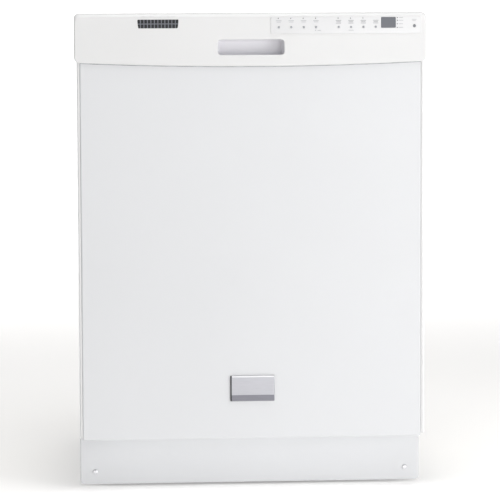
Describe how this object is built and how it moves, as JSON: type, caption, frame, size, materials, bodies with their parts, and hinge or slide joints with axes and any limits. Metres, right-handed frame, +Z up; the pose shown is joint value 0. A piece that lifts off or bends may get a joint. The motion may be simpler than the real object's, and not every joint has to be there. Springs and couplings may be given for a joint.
{
  "type": "built in dishwasher",
  "caption": "White built in dishwasher with a drop-down door, recessed handle, electronic controls, sliding racks and a recessed toe panel.",
  "frame": {"origin": "on the floor under the middle of the whole machine", "axes": "+Z up, the front faces -Y, +X to the right seen from the front"},
  "size_m": [0.606, 0.635, 0.828],
  "materials": {
    "white_enamel": "smooth glossy white enamel on steel",
    "white_moulded": "white moulded plastic, satin gloss",
    "liner_plastic": "white moulded inner liner",
    "overlay_film": "printed control film",
    "grey_plastic": "light grey moulded plastic",
    "dark_plastic": "dark blue grey moulded plastic",
    "dark_window": "dark translucent window",
    "badge_silver": "satin silver plate",
    "stainless_steel": "brushed stainless steel",
    "zinc_plate": "zinc plated steel sheet",
    "seal_rubber": "dark grey rubber seal",
    "insulation_felt": "pale needled felt",
    "coated_wire": "grey nylon coating over steel wire",
    "motor_paint": "dark grey motor enamel"
  },
  "bodies": {
    "cabinet": {"tub": "stainless_steel", "tub_gasket": "seal_rubber", "base_frame": "zinc_plate", "bracket_left": "zinc_plate", "bracket_right": "zinc_plate", "toe_kick": "white_enamel", "toe_kick_screw_left": "stainless_steel", "toe_kick_screw_right": "stainless_steel", "sump": "dark_plastic", "wash_motor": "motor_paint", "drain_pump": "grey_plastic", "inlet_valve": "motor_paint", "junction_box": "zinc_plate", "heating_element": "stainless_steel", "spray_feed_tube": "white_moulded", "door_strike": "zinc_plate", "tub_blanket": "insulation_felt", "rail_fixed_left": "zinc_plate", "rail_fixed_right": "zinc_plate", "door_spring_left": "stainless_steel", "door_spring_right": "stainless_steel"},
    "door": {"door_panel": "white_enamel", "door_liner": "liner_plastic", "console": "white_moulded", "handle_cup": "grey_plastic", "vent_grille": "dark_plastic", "control_overlay": "overlay_film", "display_lens": "dark_window", "badge": "badge_silver", "hinge_left": "zinc_plate", "hinge_right": "zinc_plate", "latch_housing": "dark_plastic", "dispenser_body": "white_moulded"},
    "latch_pawl": {"latch_pawl": "zinc_plate"},
    "dispenser_lid": {"dispenser_lid": "grey_plastic"},
    "rinse_cap": {"rinse_cap": "grey_plastic"},
    "lower_rack": {"lower_rack": "coated_wire"},
    "cutlery_basket": {"cutlery_basket": "grey_plastic"},
    "upper_rack": {"upper_rack": "coated_wire"},
    "rail_slide_left": {"rail_slide_left": "stainless_steel"},
    "rail_slide_right": {"rail_slide_right": "stainless_steel"},
    "lower_spray_arm": {"lower_spray_arm": "grey_plastic"},
    "middle_spray_arm": {"middle_spray_arm": "grey_plastic"},
    "float": {"float": "white_moulded"},
    "filter_cup": {"filter_cup": "grey_plastic"},
    "wheel_left_front": {"wheel_left_front": "grey_plastic"},
    "wheel_left_rear": {"wheel_left_rear": "grey_plastic"},
    "wheel_right_front": {"wheel_right_front": "grey_plastic"},
    "wheel_right_rear": {"wheel_right_rear": "grey_plastic"},
    "button_cycle_1": {"button_cycle_1": "grey_plastic"},
    "button_cycle_2": {"button_cycle_2": "grey_plastic"},
    "button_cycle_3": {"button_cycle_3": "grey_plastic"},
    "button_cycle_4": {"button_cycle_4": "grey_plastic"},
    "button_option_1": {"button_option_1": "grey_plastic"},
    "button_option_2": {"button_option_2": "grey_plastic"},
    "button_option_3": {"button_option_3": "grey_plastic"},
    "button_option_4": {"button_option_4": "grey_plastic"},
    "button_start": {"button_start": "grey_plastic"},
    "foot_front_left": {"foot_front_left": "dark_plastic"},
    "foot_front_right": {"foot_front_right": "dark_plastic"}
  },
  "joints": [
    {"name": "door_hinge", "type": "hinge", "parent": "cabinet", "child": "door", "pos_m": [0, -0.272, 0.1], "axis": [1, 0, 0], "range_deg": [0, 90], "deforming": ["door_spring_left", "door_spring_right"]},
    {"name": "lower_rack_slide", "type": "slide", "parent": "cabinet", "child": "lower_rack", "axis": [0, -1, 0], "range_m": [0, 0.181]},
    {"name": "upper_rack_slide", "type": "slide", "parent": "cabinet", "child": "upper_rack", "axis": [0, -1, 0], "range_m": [0, 0.472]},
    {"name": "rail_slide_left", "type": "slide", "parent": "cabinet", "child": "rail_slide_left", "axis": [0, -1, 0], "range_m": [0, 0.236]},
    {"name": "rail_slide_right", "type": "slide", "parent": "cabinet", "child": "rail_slide_right", "axis": [0, -1, 0], "range_m": [0, 0.236]},
    {"name": "wheel_left_front_spin", "type": "hinge", "parent": "lower_rack", "child": "wheel_left_front", "pos_m": [-0.251, -0.04, 0.161], "axis": [1, 0, 0], "continuous": true},
    {"name": "wheel_left_rear_spin", "type": "hinge", "parent": "lower_rack", "child": "wheel_left_rear", "pos_m": [-0.251, 0.2, 0.161], "axis": [1, 0, 0], "continuous": true},
    {"name": "wheel_right_front_spin", "type": "hinge", "parent": "lower_rack", "child": "wheel_right_front", "pos_m": [0.251, -0.04, 0.161], "axis": [1, 0, 0], "continuous": true},
    {"name": "wheel_right_rear_spin", "type": "hinge", "parent": "lower_rack", "child": "wheel_right_rear", "pos_m": [0.251, 0.2, 0.161], "axis": [1, 0, 0], "continuous": true},
    {"name": "basket_lift", "type": "slide", "parent": "lower_rack", "child": "cutlery_basket", "axis": [0, 0, 1], "range_m": [0, 0.1]},
    {"name": "latch_pivot", "type": "hinge", "parent": "door", "child": "latch_pawl", "pos_m": [0, -0.272, 0.782], "axis": [-1, 0, 0], "range_deg": [0, 18], "stiffness_Nm_per_rad": 0.4},
    {"name": "dispenser_lid_hinge", "type": "hinge", "parent": "door", "child": "dispenser_lid", "pos_m": [-0.04, -0.2262, 0.343], "axis": [-1, 0, 0], "range_deg": [0, 90]},
    {"name": "rinse_cap_turn", "type": "hinge", "parent": "door", "child": "rinse_cap", "pos_m": [0.045, -0.2282, 0.385], "axis": [0, -1, 0], "range_deg": [0, 90]},
    {"name": "lower_arm_spin", "type": "hinge", "parent": "cabinet", "child": "lower_spray_arm", "pos_m": [0, 0.04, 0.15], "axis": [0, 0, 1], "continuous": true},
    {"name": "middle_arm_spin", "type": "hinge", "parent": "upper_rack", "child": "middle_spray_arm", "pos_m": [0, 0.04, 0.442], "axis": [0, 0, 1], "continuous": true},
    {"name": "float_lift", "type": "slide", "parent": "cabinet", "child": "float", "axis": [0, 0, 1], "range_m": [0, 0.01]},
    {"name": "filter_twist", "type": "hinge", "parent": "cabinet", "child": "filter_cup", "pos_m": [0, -0.085, 0.112], "axis": [0, 0, 1], "range_deg": [0, 90]},
    {"name": "button_cycle_1_press", "type": "slide", "parent": "door", "child": "button_cycle_1", "axis": [0, 1, 0], "range_m": [0, 0.0008], "stiffness_N_per_m": 400},
    {"name": "button_cycle_2_press", "type": "slide", "parent": "door", "child": "button_cycle_2", "axis": [0, 1, 0], "range_m": [0, 0.0008], "stiffness_N_per_m": 400},
    {"name": "button_cycle_3_press", "type": "slide", "parent": "door", "child": "button_cycle_3", "axis": [0, 1, 0], "range_m": [0, 0.0008], "stiffness_N_per_m": 400},
    {"name": "button_cycle_4_press", "type": "slide", "parent": "door", "child": "button_cycle_4", "axis": [0, 1, 0], "range_m": [0, 0.0008], "stiffness_N_per_m": 400},
    {"name": "button_option_1_press", "type": "slide", "parent": "door", "child": "button_option_1", "axis": [0, 1, 0], "range_m": [0, 0.0008], "stiffness_N_per_m": 400},
    {"name": "button_option_2_press", "type": "slide", "parent": "door", "child": "button_option_2", "axis": [0, 1, 0], "range_m": [0, 0.0008], "stiffness_N_per_m": 400},
    {"name": "button_option_3_press", "type": "slide", "parent": "door", "child": "button_option_3", "axis": [0, 1, 0], "range_m": [0, 0.0008], "stiffness_N_per_m": 400},
    {"name": "button_option_4_press", "type": "slide", "parent": "door", "child": "button_option_4", "axis": [0, 1, 0], "range_m": [0, 0.0008], "stiffness_N_per_m": 400},
    {"name": "button_start_press", "type": "slide", "parent": "door", "child": "button_start", "axis": [0, 1, 0], "range_m": [0, 0.0008], "stiffness_N_per_m": 400},
    {"name": "foot_left_level", "type": "slide", "parent": "cabinet", "child": "foot_front_left", "axis": [0, 0, -1], "range_m": [0, 0.035]},
    {"name": "foot_right_level", "type": "slide", "parent": "cabinet", "child": "foot_front_right", "axis": [0, 0, -1], "range_m": [0, 0.035]}
  ],
  "couplings": [
    {"joint": "lower_rack_slide", "follows": "door_hinge", "m_per_rad": 0.115},
    {"joint": "upper_rack_slide", "follows": "door_hinge", "m_per_rad": 0.3},
    {"joint": "rail_slide_left", "follows": "door_hinge", "m_per_rad": 0.15},
    {"joint": "rail_slide_right", "follows": "door_hinge", "m_per_rad": 0.15},
    {"joint": "wheel_left_front_spin", "follows": "door_hinge", "ratio": 6.3889},
    {"joint": "wheel_left_rear_spin", "follows": "door_hinge", "ratio": 6.3889},
    {"joint": "wheel_right_front_spin", "follows": "door_hinge", "ratio": 6.3889},
    {"joint": "wheel_right_rear_spin", "follows": "door_hinge", "ratio": 6.3889}
  ]
}
